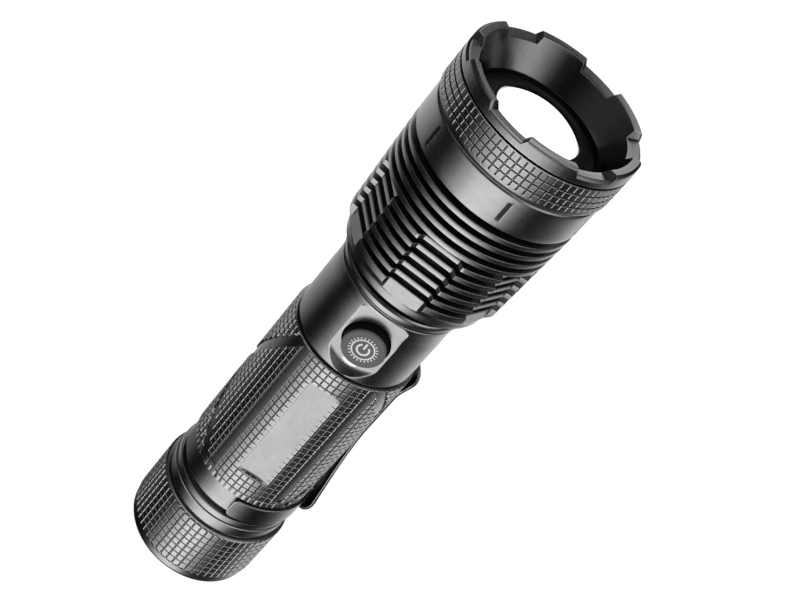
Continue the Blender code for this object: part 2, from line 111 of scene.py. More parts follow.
def mesh_object(name, verts, faces, sharp):
    """Object from points in metres."""
    mesh = bpy.data.meshes.new(name)
    mesh.from_pydata(verts, [], faces)
    obj = bpy.data.objects.new(name, mesh)
    bpy.context.scene.collection.objects.link(obj)
    clean(obj, weld=1.0e-6)
    shade(obj, sharp)
    return obj


def to_metres(points):
    return [tuple(Vector(point) * MM) for point in points]


class Rings:
    """A closed outline turned round the axis, gathered ring by ring at fixed turns."""

    def __init__(self, turns):
        self.turns = turns
        self.radii, self.heights = [], []

    def add(self, radius, z):
        """One ring; the radius and the height are single values or one value per turn."""
        self.radii.append(np.full(len(self.turns), radius, float))
        self.heights.append(np.full(len(self.turns), z, float))

    def outline(self, points):
        for radius, z in points:
            self.add(radius, z)

    def solid(self, name, sharp, place=None):
        angles = np.radians(self.turns)
        radii, heights = np.array(self.radii), np.array(self.heights)
        points = np.stack([-radii * np.sin(angles), -radii * np.cos(angles), heights], -1)
        points = points.reshape(-1, 3)
        corners = np.arange(radii.size).reshape(radii.shape)
        poles = radii.max(axis=1) < 1e-6            # rings shrunk to a point on the axis
        corners[poles] = corners[poles, :1]
        after = np.roll(corners, -1, axis=0)
        quads = np.stack([corners, np.roll(corners, -1, axis=1),
                          np.roll(after, -1, axis=1), after], -1).reshape(-1, 4)
        starts = quads[:, 0] == quads[:, 1]
        ends = quads[:, 2] == quads[:, 3]
        faces = quads[~starts & ~ends].tolist()
        faces += quads[starts & ~ends][:, [0, 2, 3]].tolist()
        faces += quads[~starts & ends][:, [0, 1, 2]].tolist()
        if place is not None:
            matrix = np.array(place)
            points = points @ matrix[:3, :3].T + matrix[:3, 3]
        return mesh_object(name, (points * MM).tolist(), faces, sharp)


def lathe(name, outline, sides, sharp, place=None):
    rings = Rings(np.arange(sides) * 360.0 / sides)
    rings.outline(outline)
    return rings.solid(name, sharp, place)


def tube_faces(count, size, closed=False, first=0):
    """Faces over count sections of size points each; an open tube is capped at both ends."""
    faces = []
    for i in range(count if closed else count - 1):
        here, there = first + i * size, first + (i + 1) % count * size
        for k in range(size):
            j = (k + 1) % size
            faces.append((here + k, here + j, there + j, there + k))
    if not closed:
        faces.append(tuple(range(first, first + size)))
        faces.append(tuple(range(first + (count - 1) * size, first + count * size)))
    return faces


def loft(name, sections, sharp):
    verts = to_metres(point for section in sections for point in section)
    return mesh_object(name, verts, tube_faces(len(sections), len(sections[0])), sharp)


def boolean(target, cutter, operation):
    """Apply an exact boolean to the target and remove the other solid."""
    modifier = target.modifiers.new("boolean", "BOOLEAN")
    modifier.solver = "EXACT"
    modifier.operation = operation
    modifier.object = cutter
    depsgraph = bpy.context.evaluated_depsgraph_get()
    mesh = bpy.data.meshes.new_from_object(target.evaluated_get(depsgraph), depsgraph=depsgraph)
    target.modifiers.clear()
    old, name = target.data, target.data.name
    target.data = mesh
    bpy.data.meshes.remove(old)
    mesh.name = name
    cutter_mesh = cutter.data
    bpy.data.objects.remove(cutter, do_unlink=True)
    bpy.data.meshes.remove(cutter_mesh)
    clean(target, weld=2.0e-6)


def polar(radius, turn, z):
    angle = math.radians(turn)
    return Vector((-radius * math.sin(angle), -radius * math.cos(angle), z))


def corner_cut(distance, corner):
    """How far a round corner cuts in, at this distance from the end it rounds."""
    inward = np.clip(corner - distance, 0.0, corner)
    return corner - np.sqrt(np.maximum(corner ** 2 - inward ** 2, 0.0))


def thinned(values, gap=0.02):
    """The values in order, without those closer than the gap to the one before."""
    kept = []
    for value in sorted(values):
        if not kept or value - kept[-1] > gap:
            kept.append(value)
    return kept


def wrap(turns):
    """Turns brought into -180 to 180."""
    return (np.asarray(turns, float) + 180.0) % 360.0 - 180.0


def fold(turns, count, phase):
    """Signed angle to the nearest of count features."""
    pitch = 360.0 / count
    return (np.asarray(turns, float) - phase + pitch / 2) % pitch - pitch / 2


def thread(root, crest, start, direction):
    """Thread outline from a height, upwards (1) or downwards (-1)."""
    turn_points = ((root, 0.25), (crest, 0.62), (crest, 0.98), (root, 1.35))
    return [(radius, start + direction * (THREAD_PITCH * turn + rise))
            for turn in range(THREAD_TURNS) for radius, rise in turn_points]


# ================================================================ knurling
class Groove(NamedTuple):
    """Section of a V groove with a shallow lip on each side."""
    top: float              # half width of the V
    floor: float            # half width of its flat floor
    lip: float              # width of the lip
    lip_share: float        # share of the depth that the lip takes

    def depth(self, distance):
        """Depth share at a distance from the middle: 1 on the floor, 0 past the lip."""
        away = np.abs(distance)
        share = self.lip_share
        wall = np.clip((self.top - away) / (self.top - self.floor), 0, 1) * (1 - share) + share
        edge = np.clip((self.top + self.lip - away) / self.lip, 0, 1) * share
        return np.where(away <= self.top, wall, edge)

    def edges(self):
        return (-self.top - self.lip, -self.top, -self.floor,
                self.floor, self.top, self.top + self.lip)


class Knurl(NamedTuple):
    """Upright grooves round the axis, crossed by level ones."""
    number: int
    phase: float            # turn of the first upright groove
    upright: Groove         # in degrees
    upright_depth: float
    level: Groove           # in mm
    level_depth: float
    rows: tuple             # heights of the level grooves

    def turns(self, between, extra=(), gap=0.02):
        """Turns with the same samples round every groove, one between, and extra ones."""
        pitch = 360.0 / self.number
        values = [self.phase + pitch * i + offset for i in range(self.number)
                  for offset in (*self.upright.edges(), between)]
        return np.array(thinned(wrap(values + list(extra)), gap))

    def heights(self, between):
        return [row + offset for row in self.rows for offset in (*self.level.edges(), between)]

    def depth(self, turns, z):
        across = self.upright.depth(fold(turns, self.number, self.phase))
        along = np.max([self.level.depth(z - row) for row in self.rows], axis=0)
        return np.maximum(self.upright_depth * across, self.level_depth * along)


# ================================================================ strike bezel
def build_bezel():
    """Knurled ring with a notched rim; inside, a funnel falls to the lens."""
    knurl = Knurl(80, 1.8, Groove(0.36, 0.20, 0.30, 0.34), 0.34,
                  Groove(0.15, 0.08, 0.12, 0.34), 0.36, (162.3, 164.2, 166.1))
    floor_half, land_half = 12.2, 14.5      # degrees from a notch's middle to floor and land ends
    corner_offsets = (floor_half - 0.35, floor_half, floor_half + 0.12,
                      (floor_half + land_half) / 2,
                      land_half - 0.12, land_half, land_half + 0.3)
    corners = [NOTCH_TURN + 60 * k + side * offset for k in range(HEAD_REPEATS)
               for side in (1, -1) for offset in corner_offsets]
    turns = knurl.turns(between=1.6, extra=corners, gap=0.03)
    notch = np.abs(fold(turns, HEAD_REPEATS, NOTCH_TURN))
    tooth = np.interp(notch, [floor_half, land_half], [0.0, 1.0])      # 1 on a tooth's land
    rings = Rings(turns)

    rings.outline([(22.1, 159.6), (22.75, 159.72), (23.0, 160.0), (BEZEL_RADIUS, 160.35)])
    plain = [160.70, 160.80, 160.9, 161.0, 167.9, 168.0, 168.08]
    for z in thinned(plain + knurl.heights(between=0.95)):
        fade = np.interp(z, [160.70, 160.9, 167.98, 168.08], [0, 1, 1, 0])
        rings.add(BEZEL_RADIUS - fade * knurl.depth(turns, z), z)
    rings.outline([(BEZEL_RADIUS, 168.14), (22.95, 168.26), (22.40, 168.3), (22.40, 168.72),
                   (22.95, 168.76), (BEZEL_RADIUS, 168.92)])

    def level(radius):
        """Height of the rim at a radius: teeth and notch floors both fall inwards."""
        land = RIM_Z + (radius - 22.3) * 0.21
        floor = NOTCH_Z + (radius - 22.5) * 0.25
        return (1 - tooth) * floor + tooth * land

    def outer(z):
        return np.interp(z, [168.92, 170.6, 172.5], [BEZEL_RADIUS, 23.05, 22.90])

    def funnel(z):
        return (FUNNEL_RADIUS
                + (z - FUNNEL_Z) * (LAND_RADIUS - FUNNEL_RADIUS) / (LAND_Z - FUNNEL_Z))

    rim_radius = 22.30
    rim = level(rim_radius)
    for z in (169.3, 169.6, 170.1, 171.2):
        held = np.minimum(z, rim - 0.66)
        rings.add(outer(held), held)
    for shift, drop in ((0.0, -0.62), (-0.03, -0.54), (-0.50, -0.06)):
        rings.add(outer(rim + drop) + shift, rim + drop)

    inner = (1 - tooth) * funnel(NOTCH_Z - 0.70) + tooth * LAND_RADIUS
    for share in (0.0, 0.5, 0.95):
        radius = rim_radius * (1 - share) + inner * share
        rings.add(radius, level(radius))
    base = level(inner)
    for shift, drop in ((0.02, -0.01), (0.0, -0.10)):
        rings.add(funnel(base + drop) + shift, base + drop)
    for z in (171.6, 170.9, 170.1, 169.9, 169.0, 168.0, 167.0, 166.0, 165.0, 164.2, 163.9):
        held = np.minimum(z, base - 0.14 - 0.001 * (172 - z))
        rings.add(funnel(held), held)
    rings.outline([
        (16.32, FUNNEL_Z), (FUNNEL_RADIUS, 163.6), (FUNNEL_RADIUS, 162.95), (17.8, 162.9),
        (17.8, 158.2), (18.25, 158.2), (18.25, 154.6), (20.5, 154.6), (20.5, 156.0),
        (19.8, 156.0), (19.8, 157.6), (20.5, 157.6), (20.5, 159.6)])
    return rings.solid("bezel_crown", sharp=24)


# ================================================================ finned head
# Degrees either side of a pocket's middle, and of a mark's middle, that carry samples.
POCKET_OFFSETS = (
    0, 2, 4, 6, 8, 10, 12, 13.1, 13.40, 13.53, 13.66, 14.0, 14.5, 14.8, 15.0, 15.1, 15.2, 15.3,
    15.45, 15.8, 16.4, 17.6, 19.2, 20.8, 22.4, 24.0, 25.6, 27.2, 28.8, 30.0)
MARK_OFFSETS = (0.0, 0.5, 1.0, 1.45, 1.5, 1.56, 1.62, 2.2)

# radius, z
HEAD_FOOT = (
    (15.05, 113.6), (16.0, 113.6), (16.15, 113.65), (17.6, 114.45), (19.25, 114.95),
    (19.50, 115.10), (19.60, 115.32), (19.66, 116.4), (19.68, 117.15))
HEAD_BORE = (
    (20.9, 159.2), (20.9, 154.2), (17.9, 154.2), (17.9, 157.7), (11.0, 157.7), (11.0, 155.9),
    (15.5, 155.9), (15.5, 118.2), (15.05, 118.0))


def build_head():
    """Head with ten fins, six milled pockets through the lower fins and six sunk marks above."""
    samples = []
    for middle, offsets in ((POCKET_TURN, POCKET_OFFSETS), (MARK_TURN, MARK_OFFSETS)):
        for k in range(HEAD_REPEATS):
            for offset in offsets:
                samples += [middle + 60 * k + offset, middle + 60 * k - offset]
    turns = np.array(thinned(wrap(samples), 0.03))
    rings = Rings(turns)

    angles = np.radians(fold(turns, HEAD_REPEATS, POCKET_TURN))
    tangent = np.abs(np.tan(angles))
    wall = ((POCKET_FLARE * POCKET_FLAT - POCKET_HALF)
            / np.maximum(POCKET_FLARE - tangent, 1e-3) / np.cos(angles))
    wall = np.where(tangent < 0.86, wall, NO_CUT)
    pocket = np.where(POCKET_FLAT * tangent <= POCKET_HALF, POCKET_FLAT / np.cos(angles), wall)
    mark = fold(turns, HEAD_REPEATS, MARK_TURN)         # each mark slopes from one side to the other
    mark = np.where(np.abs(mark) < 1.53, np.clip((1.5 - mark) / 3.0, 0, 1), 0.0)

    def cut(radius, z, inset=0.0):
        """A ring that follows the pockets below their top."""
        rings.add((np.minimum(radius, pocket) if z < POCKET_TOP else radius) - inset, z)

    # flared skirt up to the lowest fin
    rings.outline(HEAD_FOOT)
    lowest = FIN_RADIUS - FIN_TAPER * (FIN_COUNT - 1)
    skirt_radius, skirt_low, skirt_high = 19.95, 117.42, 119.3
    cut(19.72, 117.24)
    cut(skirt_radius, skirt_low)
    for z in np.arange(117.6, 119.2, 0.2):
        share = (z - skirt_low) / (skirt_high - skirt_low)
        cut(skirt_radius + (lowest - 0.12 - skirt_radius) * share, z)
    cut(lowest - 0.12, skirt_high)
    cut(lowest - 0.02, 119.45)
    cut(lowest, 119.65)

    for i in reversed(range(FIN_COUNT)):
        z = FIN_TOP_Z - FIN_PITCH * i
        radius = FIN_RADIUS - FIN_TAPER * i
        under, over = z - FIN_HALF, z + FIN_HALF
        if i < FIN_COUNT - 1:
            cut(FIN_ROOT, under - 0.25)
            cut(FIN_ROOT + 0.07, under - 0.07)
            cut(FIN_ROOT + 0.25, under)
            cut(radius, under, inset=0.13)
            cut(radius, under + 0.13)
        else:                                           # the lowest fin grows out of the skirt
            cut(radius, z - 0.6)
            cut(radius, z)
        cut(radius, over - 0.14)
        cut(radius, over - 0.045, inset=0.05)
        cut(radius, over, inset=0.15)
        cut(FIN_ROOT + 0.25, over)
        cut(FIN_ROOT + 0.07, over + 0.07)
        cut(FIN_ROOT, over + 0.25)

    # plain band with the marks
    rings.outline([(FIN_ROOT, 149.45), (FIN_ROOT + 0.25, 149.7), (HEAD_RADIUS - 0.3, 149.7),
                   (HEAD_RADIUS - 0.06, 149.82), (HEAD_RADIUS, 150.05)])
    for z in (151.30, 151.40, 151.60, 152.5, 154.1, 155.7, 156.80, 157.00, 157.10):
        fade = np.interp(z, [151.36, 151.58, 156.82, 157.04], [0, 1, 1, 0])
        rings.add(HEAD_RADIUS - 0.26 * mark * fade, z)
    rings.outline([(HEAD_RADIUS, 158.35), (HEAD_RADIUS - 0.07, 158.65),
                   (HEAD_RADIUS - 0.3, 158.95), (22.0, 159.15), (21.6, 159.2)])
    rings.outline(HEAD_BORE)
    return rings.solid("head_shell", sharp=30)


# ================================================================ switch collar and neck
# z, radius of the outside
COLLAR_OUTSIDE = (
    (87.2, 16.0), (87.28, 16.22), (87.55, 16.41), (87.8, COLLAR_RADIUS), (101.5, COLLAR_RADIUS),
    (104.2, 16.37), (106.6, 16.45), (108.6, 16.62), (108.85, 16.63), (109.02, 16.5),
    (109.1, 16.3), (109.45, 16.3), (109.55, 16.5), (109.7, 16.72), (110.2, 17.1),
    (110.5, 17.24), (111.4, 17.25), (111.75, 17.16), (112.1, 16.9))
# radius, z of the neck with its two ring grooves, then of the bore back down
NECK_AND_BORE = (
    (16.66, 112.1), (16.58, 112.0), (16.58, 110.75), (NECK_RADIUS + 0.05, 110.75),
    (NECK_RADIUS, 110.85), (NECK_RADIUS, 112.3), (NECK_RADIUS, 118.0), (NECK_RADIUS, 124.0),
    (NECK_RADIUS, 130.9), (13.9, 130.9), (13.9, 132.5), (NECK_RADIUS, 132.5),
    (NECK_RADIUS, 134.3), (13.7, 134.3), (13.7, 136.5), (NECK_RADIUS, 136.5),
    (NECK_RADIUS, 149.6), (14.3, 149.9), (12.7, 149.9), (12.7, 112.4), (13.2, 111.6),
    (13.2, 91.4), (14.95, 91.4), (14.95, 87.35), (15.1, 87.2))
# turns on each side of the switch near the edge of its flat
FLAT_EDGE_TURNS = (23.0, 23.5, 23.7, 23.82, 23.95, 24.04, 24.15, 24.4, 25.0, 26.0)


def build_collar():
    """Collar with a milled flat round the switch hole, and the neck that the head slides on."""
    samples = [*np.arange(-22.0, 22.01, 1.0)]
    samples += [side * turn for side in (1, -1) for turn in FLAT_EDGE_TURNS]
    samples += [28 + 3.0 * k for k in range(102)]
    turns = np.array(thinned(wrap(samples), 0.03))
    angles = np.radians(turns)
    outside_z, outside_radius = zip(*COLLAR_OUTSIDE)
    flat_half, flat_top, flat_corner = 6.7, 108.5, 2.6

    def flat_cut(z, surface):
        """Radius of the milled flat at each turn; its low end sweeps out to the surface."""
        x = surface * np.sin(angles)
        edge = flat_half - corner_cut(flat_top - z, flat_corner)
        inside = (np.abs(turns) < 40) & (z < flat_top) & (np.abs(x) <= edge + 0.02)
        bottom = 89.9 + 2.4 * (np.clip(x, -flat_half, flat_half) / flat_half) ** 2
        run = np.maximum(bottom + 0.9 - z, 0.0)
        near = np.minimum(run, 1.3)
        far = np.maximum(run - 1.3, 0.0)
        distance = SWITCH_FLAT + near ** 2 / 5.6 + 0.464 * far + far ** 2 / 20.0
        return np.where(inside, distance / np.cos(angles), NO_CUT)

    heights = thinned([*outside_z, *np.arange(88.0, 93.0, 0.2), *np.arange(93.0, 105.6, 1.5),
                       *np.arange(105.8, 108.45, 0.15), 108.42, 108.47, 108.53, 111.0])
    rings = Rings(turns)
    rings.add(15.35, 87.2)
    for z in heights:
        surface = np.interp(z, outside_z, outside_radius)
        rings.add(np.minimum(surface, flat_cut(z, surface)), z)
    rings.outline(NECK_AND_BORE)
    collar = rings.solid("collar_shell", sharp=30)

    hole = [(0, 9.6), (7.3, 9.6), (7.3, 13.5), (HOLE_RADIUS, 13.5), (HOLE_RADIUS, 14.83),
            (HOLE_RADIUS + 0.07, 14.95), (HOLE_RADIUS + 0.3, 15.12), (HOLE_RADIUS + 0.3, 20.0),
            (0, 20.0)]
    boolean(collar, lathe("hole", hole, 96, 32, SWITCH_PLACE), "DIFFERENCE")
    shade(collar, 30)
    return collar


# ================================================================ grip tube
# radius, z below the knurl, and above it
GRIP_FOOT = (
    (15.3, 25.1), (16.9, 25.1), (17.15, 25.17), (17.3, 25.4), (17.3, 26.95), (17.18, 27.2),
    (16.95, 27.3), (16.0, 27.3), (16.0, 28.85), (16.15, 29.0), (SEAT_RADIUS - 0.15, 29.0),
    (SEAT_RADIUS, 29.12), (SEAT_RADIUS, 32.0), (SEAT_RADIUS, 35.2))
GRIP_TOP = (
    (GRIP_RADIUS - 0.15, 86.88), (GRIP_RADIUS - 0.20, 86.9), (14.6, 86.9), (14.6, 88.2),
    (14.1, 88.2), (14.1, 89.6), (14.6, 89.6), (14.6, 90.8), (GRIP_BORE, 90.8),
    (GRIP_BORE, 50.0), (GRIP_BORE, 9.0), (15.3, 9.0))


def build_grip():
    """Knurled tube with a flat label on the switch's side, plain strips and slanted bands."""
    knurl = Knurl(60, 1.2, Groove(0.46, 0.26, 0.40, 0.35), 0.36,
                  Groove(0.14, 0.07, 0.13, 0.35), 0.36,
                  tuple(79.4 - 2 * k for k in range(-3, 22)))
    label_half, strip_half, rear_strip = 16.7, 39.0, 170.0      # turns
    strip_start = 30.0
    extra = []
    for side in (1, -1):
        for edge in (label_half, strip_start, strip_half):
            extra += [side * (edge + step) for step in (-0.28, -0.08, 0.08, 0.28)]
        for turn in (12.0, 14.0, 15.2, 16.0, rear_strip - 0.08, rear_strip + 0.08, 38.4, 43.0):
            extra.append(side * turn)
    turns = knurl.turns(between=3.0, extra=extra, gap=0.05)
    away = np.abs(turns)

    # the label's top edge: round corners and a slight arch
    label_radius, label_corner = 17.0, 1.3
    to_side = label_radius * math.radians(label_half) - label_radius * np.radians(away)
    label_top = 80.4 - corner_cut(to_side, label_corner)
    label_top = np.where(away > label_half, 77.4, label_top)
    label_top = label_top + 0.6 * np.cos(np.minimum(away / label_half, 1) * math.pi / 2) - 0.3

    # middle heights of the slanted bands
    past_start = np.maximum(away, strip_start) - 38.0
    upper_band = 88.3 - 0.43 * past_start
    lower_band = 33.8 + 0.39 * past_start
    band_half = 2.6

    heights = [35.22, 35.36, 35.5, 86.55, 86.62, 86.78, 86.88]
    heights += [z for z in knurl.heights(between=1.0) if 35.55 < z < 86.5]
    lines = [band + side * band_half + step for band in (upper_band, lower_band)
             for side, steps in ((-1, (-0.25, -0.07, 0.07)), (1, (-0.07, 0.07, 0.25)))
             for step in steps]
    lines += [label_top + step for step in (-0.2, -0.05, 0.05)]
    lines += [42.55, 42.65, 43.1, 43.7, 44.3, 44.9, 37.95, 38.05, 86.0]
    columns = len(turns)
    grid = np.vstack([np.full(columns, z) for z in thinned(heights, 0.03)]
                     + [np.clip(np.full(columns, line), 35.5, 86.55) for line in lines])
    grid.sort(axis=0)

    def surface(z):
        fade = np.interp(z, [35.5, 35.62, 86.8, 86.9], [0, 1, 1, 0])
        radius = GRIP_RADIUS - knurl.depth(turns, z) * fade
        plain = (away > strip_start) & (away < strip_half) & (z > 38.0) & (z < 86.7)
        plain |= ((np.abs(z - upper_band) < band_half)
                  & (away > strip_start) & (away < 169.9) & (z < 86.7))
        plain |= ((np.abs(z - lower_band) < band_half)
                  & (away > strip_half) & (away < 170.7) & (z > 35.55))
        plain |= (away > rear_strip) & (z > 36.3) & (z < 86.5)
        radius = np.where(plain, BAND_RADIUS, radius)
        flat = 16.42 / np.cos(np.radians(np.minimum(away, 60)))
        run = np.clip((44.8 - z) / 1.35, 0, 1)          # the label's low end runs out to the tube
        label = flat + (GRIP_RADIUS - flat) * run ** 1.1
        inside = (away < label_half) & (z > 42.6) & (z < label_top)
        radius = np.where(inside, np.minimum(label, radius), radius)
        chamfer = np.interp(z, [86.72, 86.88], [GRIP_RADIUS, GRIP_RADIUS - 0.15])
        seat_rise = np.clip((z - 35.2) / 0.3, 0, 1)
        step = SEAT_RADIUS + (GRIP_RADIUS - SEAT_RADIUS) * seat_rise
        return np.where(z < 35.5, step, np.minimum(radius, chamfer))

    rings = Rings(turns)
    rings.outline(GRIP_FOOT)
    rings.outline(zip(surface(grid), grid))
    rings.outline(GRIP_TOP)
    rings.outline(thread(root=15.3, crest=15.02, start=9.0, direction=1)[:-2])
    rings.outline([(15.3, 21.4), (14.6, 21.4), (14.6, 23.4), (15.3, 23.4)])
    return rings.solid("grip_shell", sharp=30)


# ================================================================ tail cap
# radius, z below the knurl, and above it to the start of the inside thread
TAIL_FOOT = (
    (0, 0), (6.0, 0.0), (12.0, 0.0), (17.2, 0), (17.5, 0.03), (17.85, 0.25), (18.02, 0.55),
    (18.1, 1.3), (18.2, 2.6))
TAIL_TOP = (
    (18.05, 20.72), (17.9, 20.8), (17.05, 20.9), (16.95, 21.0), (16.95, 21.4), (17.05, 21.5),
    (17.35, 21.55), (17.48, 21.72), (17.5, 22.0), (17.5, 24.3), (17.44, 24.62), (17.2, 24.8),
    (15.75, 24.8), (15.75, 22.0))


def build_tail():
    """Knurled cup, threaded inside."""
    knurl = Knurl(60, -1.4, Groove(0.50, 0.28, 0.42, 0.35), 0.38,
                  Groove(0.14, 0.07, 0.13, 0.35), 0.36,
                  tuple(5.4 + 2.085 * k for k in range(7)))
    turns = knurl.turns(between=3.0)
    rings = Rings(turns)
    rings.outline(TAIL_FOOT)
    plain = [3.0, 3.12, 3.35, 3.6, 20.0, 20.2, 20.35]
    for z in thinned(plain + knurl.heights(between=1.04)):
        fade = np.interp(z, [3.05, 3.4, 20.15, 20.35], [0, 1, 1, 0])
        base = np.interp(z, [2.9, 3.3, 20.2, 20.35],
                         [18.22, TAIL_RADIUS, TAIL_RADIUS, TAIL_RADIUS - 0.06])
        rings.add(base - fade * knurl.depth(turns, z), z)
    rings.outline(TAIL_TOP)
    rings.outline(thread(root=15.75, crest=15.45, start=21.4, direction=-1))
    rings.outline([(15.75, 8.2), (13.9, 8.2), (13.9, 4.2), (7.0, 4.2), (0, 4.2)])
    return rings.solid("tail_shell", sharp=30)


# ================================================================ lens parts
def build_lens():
    """Flat-backed lens with a spherical front."""
    def dome(radius):
        return LENS_APEX - (LENS_SPHERE - math.sqrt(LENS_SPHERE ** 2 - radius * radius))

    radii = (LENS_RADIUS, 12.9, 12.2, 11.4, 10.6, 9.8, 9.0, 8.0, 7.0, 6.0, 5.0, 4.0, 3.0, 2.0, 1.0)
    outline = [(0, 158.8), (6.5, 158.8), (12.8, 158.8), (LENS_RADIUS, 158.95)]
    outline += [(radius, dome(radius)) for radius in radii]
    outline.append((0, LENS_APEX))
    return lathe("lens_dome", outline, 120, 50)


def build_retainer():
    """Ring round the lens with a face of anti-glare steps."""
    outline = [(17.5, 162.35), (17.3, 162.5)]
    for k in range(6):
        radius, z = 16.2 - 0.76 * k, 162.62 + 0.30 * k
        outline += [(radius, z), (radius - 0.1, z + 0.16), (radius - 0.3, z + 0.2),
                    (radius - 0.66, z + 0.2)]
    outline += [(11.45, 164.5), (11.25, 164.5), (11.1, 164.35), (11.3, 163.7), (12.4, 163.05),
                (13.4, 162.3), (13.4, 158.0), (17.5, 158.0)]
    return lathe("anti_glare_ring", outline, 120, 25)


# ================================================================ button
def build_button():
    """Flanged round button; its outline's heights are distances from the torch's axis."""
    shoulder, corner, corner_steps = 17.6, 0.5, 8
    outline = [(0, 11.9), (6.8, 11.9), (6.85, 11.95), (6.85, 12.45), (6.8, 12.5),
               (BUTTON_RADIUS + 0.15, 12.5), (BUTTON_RADIUS, 12.65), (BUTTON_RADIUS, 15.0),
               (BUTTON_RADIUS, shoulder)]
    for k in range(1, corner_steps + 1):
        angle = math.radians(90 * k / corner_steps)
        outline.append((BUTTON_RADIUS - corner + corner * math.cos(angle),
                        shoulder + corner * math.sin(angle)))
    outline += [(4.4, 18.105), (3.0, 18.115), (1.5, 18.12), (0, 18.12)]
    return lathe("button_cap", outline, 96, 60, SWITCH_PLACE)


def strip_points(line, half, bottom, top, closed):
    """Sections of a thin raised line on the button's face, along (x, z) points from its middle."""
    section = ((-1, bottom), (-1, top - 0.02), (-0.75, top), (0.75, top), (1, top - 0.02),
               (1, bottom))
    middles = [Vector(point) for point in line]
    points = []
    for i, middle in enumerate(middles):
        before = middles[i - 1] if closed or i > 0 else middle
        after = middles[(i + 1) % len(middles)] if closed or i < len(middles) - 1 else middle
        along = (after - before).normalized()
        side = Vector((-along.y, along.x))
        for share, out in section:
            point = middle + side * half * share
            points.append((point.x, -out, SWITCH_Z + point.y))
    return points


def build_icon():
    """Printed mark: a ring, ticks round it, an arc open at the top and an upright bar."""
    bottom, top, stroke_half = 17.9, 18.17, 0.26

    def on_circle(radius, degrees):
        angle = math.radians(degrees)
        return radius * math.cos(angle), radius * math.sin(angle)

    strokes = [([on_circle(2.80, turn) for turn in range(0, 360, 5)], 0.18, top, True)]
    for k in range(24):
        turn = 15 * k + 7.5
        strokes.append(([on_circle(3.16, turn), on_circle(3.66, turn)], 0.15, top - 0.01, False))
    arc = [on_circle(1.50, turn) for turn in range(-235, 56, 6)]
    strokes.append((arc, stroke_half, top, False))
    strokes.append(([(0, 0.25), (0, 1.0), (0, 2.1)], stroke_half, top, False))

    verts, faces = [], []
    for line, half, height, closed in strokes:
        points = strip_points(line, half, bottom, height, closed)
        faces += tube_faces(len(line), len(points) // len(line), closed, first=len(verts))
        verts += points
    return mesh_object("button_mark", to_metres(verts), faces, 30)


# ================================================================ pocket clip
# distance from the axis, z of the arm's outer side upwards, then of its inner side downwards
CLIP_ARM = (
    (17.55, 29.2), (17.6, 27.9), (17.85, 26.7), (18.35, 25.8), (19.1, 25.2), (20.0, 25.0),
    (20.85, 25.2), (21.5, 25.75), (21.85, 26.6), (21.95, 27.7), (21.9, 28.8), (21.3, 32.9),
    (19.95, 42.9), (19.1, 50.0), (18.5, 56.5), (18.3, 60.0), (18.28, 68.0), (18.28, 75.2),
    (18.4, 76.4), (18.8, 77.9), (19.35, 79.3), (19.9, 80.7), (20.3, 82.0), (20.42, 83.1),
    (20.32, 84.0), (20.1, 84.7), (19.85, 85.0),
    (19.5, 85.0), (19.3, 84.7), (19.5, 84.1), (19.6, 83.2), (19.5, 82.4), (19.2, 81.4),
    (18.9, 80.6), (18.4, 79.2), (17.9, 78.1), (17.6, 77.0), (17.47, 76.0), (17.47, 68.0),
    (17.5, 60.2), (17.7, 56.2), (18.3, 49.8), (19.15, 42.7), (20.5, 32.7), (21.05, 28.7),
    (21.08, 27.7), (20.95, 26.9), (20.7, 26.3), (20.3, 25.95), (19.8, 25.88), (19.2, 26.05),
    (18.75, 26.5), (18.5, 27.2), (18.42, 28.2), (18.4, 29.2), (18.3, 34.6), (17.6, 34.6))
# place across the arm as a share of its half width, inset of the outline there
CLIP_ARM_SECTIONS = (
    (-1, 0.22), (-0.985, 0.07), (-0.95, 0.0), (-0.5, 0.0), (0.0, 0.0), (0.5, 0.0), (0.95, 0.0),
    (0.985, 0.07), (1, 0.22))


def build_clip_ring():
    """Open ring round the tube, with round corners at its two ends."""
    inner, outer, bottom, top = 17.1, 17.95, 28.7, 35.0
    corner, bevel, arc_radius = 1.3, 0.14, 17.5
    start, stop = CLIP_TURN - CLIP_RING_HALF, CLIP_TURN + CLIP_RING_HALF
    span = stop - start
    steps = 110
    end_offsets = (0.0, 0.05, 0.2, 0.45, 0.8, 1.3, 1.9, 2.7, 3.5)      # finer, for the corners
    offsets = [*end_offsets]
    offsets += [span * (i / steps) for i in range(steps + 1)
                if 4.2 < i * (span / steps) < span - 4.2]
    offsets += [span - offset for offset in reversed(end_offsets)]
    sections = []
    for offset in offsets:
        arc = min(offset, span - offset) * math.radians(1) * arc_radius
        cut = corner_cut(arc, corner)
        low, high = bottom + cut, top - cut
        outline = (
            (inner, low + bevel), (inner + bevel * 0.4, low), (outer - bevel, low),
            (outer, low + bevel), (outer, (low + high) / 2), (outer, high - bevel),
            (outer - bevel, high), (inner + bevel * 0.4, high), (inner, high - bevel))
        sections.append([polar(radius, start + offset, z) for radius, z in outline])
    return loft("clip_body", sections, 40)


